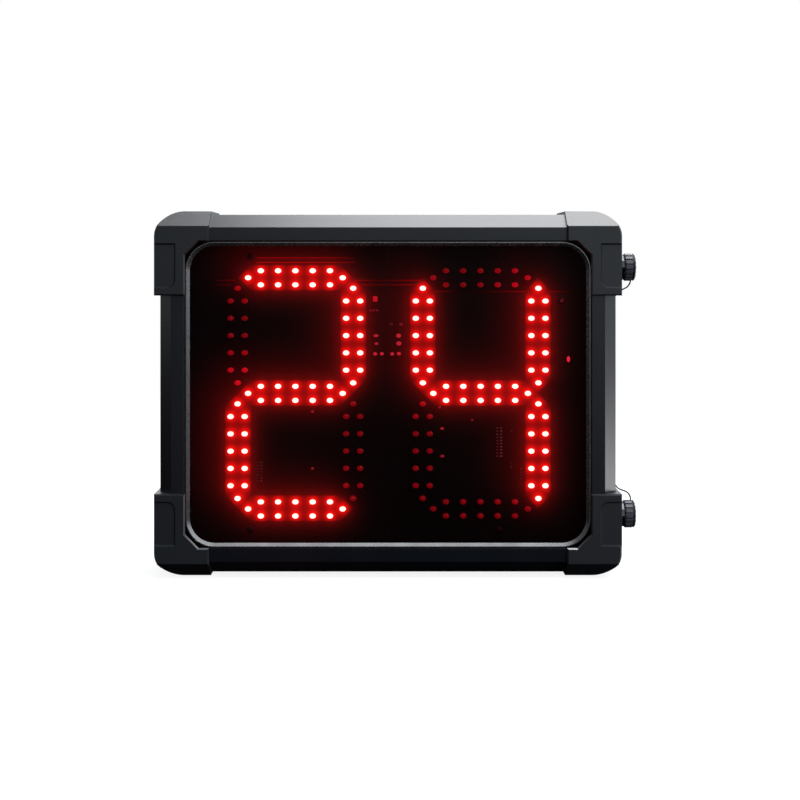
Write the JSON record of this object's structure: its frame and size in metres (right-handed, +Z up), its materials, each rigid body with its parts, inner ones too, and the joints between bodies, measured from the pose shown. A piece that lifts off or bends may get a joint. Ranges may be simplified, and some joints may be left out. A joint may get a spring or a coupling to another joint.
{
  "type": "shot clock",
  "caption": "Wide box display with large red LED digits behind a dark panel, in a chamfered frame with corner guards, standing on its feet, with capped cable sockets on one side.",
  "frame": {"origin": "under the middle of the whole with its dust caps, on the surface that it stands on", "axes": "+Z up, the display faces -Y, the sockets are on the +X side"},
  "size_m": [0.391, 0.07, 0.295],
  "materials": {
    "frame_rail": "fine matt black anodised extrusion with a cool sheen",
    "corner_guard": "moulded black plastic with a fine even texture",
    "corner_key": "moulded dark grey nylon",
    "front_panel": "polished dark tinted acrylic",
    "panel_bezel": "satin dark grey trim",
    "rear_cover": "fine textured black powder coat on sheet",
    "rubber": "matt black rubber",
    "screw": "plain zinc plated steel",
    "hanger": "zinc plated pressed steel",
    "led_board": "matt black solder mask",
    "board_bar": "mill finish channel",
    "control_board": "green solder mask with black chips",
    "casing": "black moulded casing",
    "ribbon": "grey flat cable",
    "cable": "black cable jacket",
    "nickel": "satin nickel plate",
    "insert": "black contact insert",
    "cap": "ribbed black plastic cap",
    "tether": "thin black coated cord",
    "led_unlit": "red diffused lamp, off",
    "led_lit": "red diffused lamp, lit"
  },
  "bodies": {
    "housing": {"top_rail": "frame_rail", "bottom_rail": "frame_rail", "left_rail": "frame_rail", "right_rail": "frame_rail", "upper_right_guard": "corner_guard", "upper_left_guard": "corner_guard", "lower_right_guard": "corner_guard", "lower_left_guard": "corner_guard", "upper_right_key": "corner_key", "upper_left_key": "corner_key", "lower_right_key": "corner_key", "lower_left_key": "corner_key", "front_panel": "front_panel", "panel_bezel": "panel_bezel", "rear_cover": "rear_cover", "rear_seal": "rubber", "cover_screw_1": "screw", "cover_screw_2": "screw", "cover_screw_3": "screw", "cover_screw_4": "screw", "cover_screw_5": "screw", "cover_screw_6": "screw", "cover_screw_7": "screw", "cover_screw_8": "screw", "left_hanger": "hanger", "right_hanger": "hanger", "left_led_board": "led_board", "right_led_board": "led_board", "upper_board_bar": "board_bar", "lower_board_bar": "board_bar", "upper_left_board_screw": "screw", "upper_right_board_screw": "screw", "lower_left_board_screw": "screw", "lower_right_board_screw": "screw", "control_board": "control_board", "power_module": "casing", "horn": "casing", "ribbon_cable": "ribbon", "upper_socket_lead": "cable", "lower_socket_lead": "cable", "upper_socket_body": "nickel", "upper_socket_nut": "nickel", "upper_socket_insert": "insert", "upper_socket_gasket": "rubber", "upper_tether": "tether", "upper_tether_anchor": "screw", "lower_socket_body": "nickel", "lower_socket_nut": "nickel", "lower_socket_insert": "insert", "lower_socket_gasket": "rubber", "lower_tether": "tether", "lower_tether_anchor": "screw"},
    "upper_swivel": {"upper_tether_ring": "tether"},
    "upper_cap": {"upper_cap": "cap", "upper_cap_seal": "rubber"},
    "lower_swivel": {"lower_tether_ring": "tether"},
    "lower_cap": {"lower_cap": "cap", "lower_cap_seal": "rubber"}
  },
  "joints": [
    {"name": "upper_cap_travel", "type": "slide", "parent": "housing", "child": "upper_swivel", "axis": [1, 0, 0], "range_m": [0, 0.005], "deforming": ["upper_tether"]},
    {"name": "upper_cap_turn", "type": "hinge", "parent": "upper_swivel", "child": "upper_cap", "pos_m": [0.19095, 0, 0.2495], "axis": [1, 0, 0], "range_deg": [0, 1800]},
    {"name": "lower_cap_travel", "type": "slide", "parent": "housing", "child": "lower_swivel", "axis": [1, 0, 0], "range_m": [0, 0.005], "deforming": ["lower_tether"]},
    {"name": "lower_cap_turn", "type": "hinge", "parent": "lower_swivel", "child": "lower_cap", "pos_m": [0.19095, 0, 0.0455], "axis": [1, 0, 0], "range_deg": [0, 1800]}
  ],
  "couplings": [
    {"joint": "upper_cap_travel", "follows": "upper_cap_turn", "m_per_rad": 0.00015915},
    {"joint": "lower_cap_travel", "follows": "lower_cap_turn", "m_per_rad": 0.00015915}
  ]
}
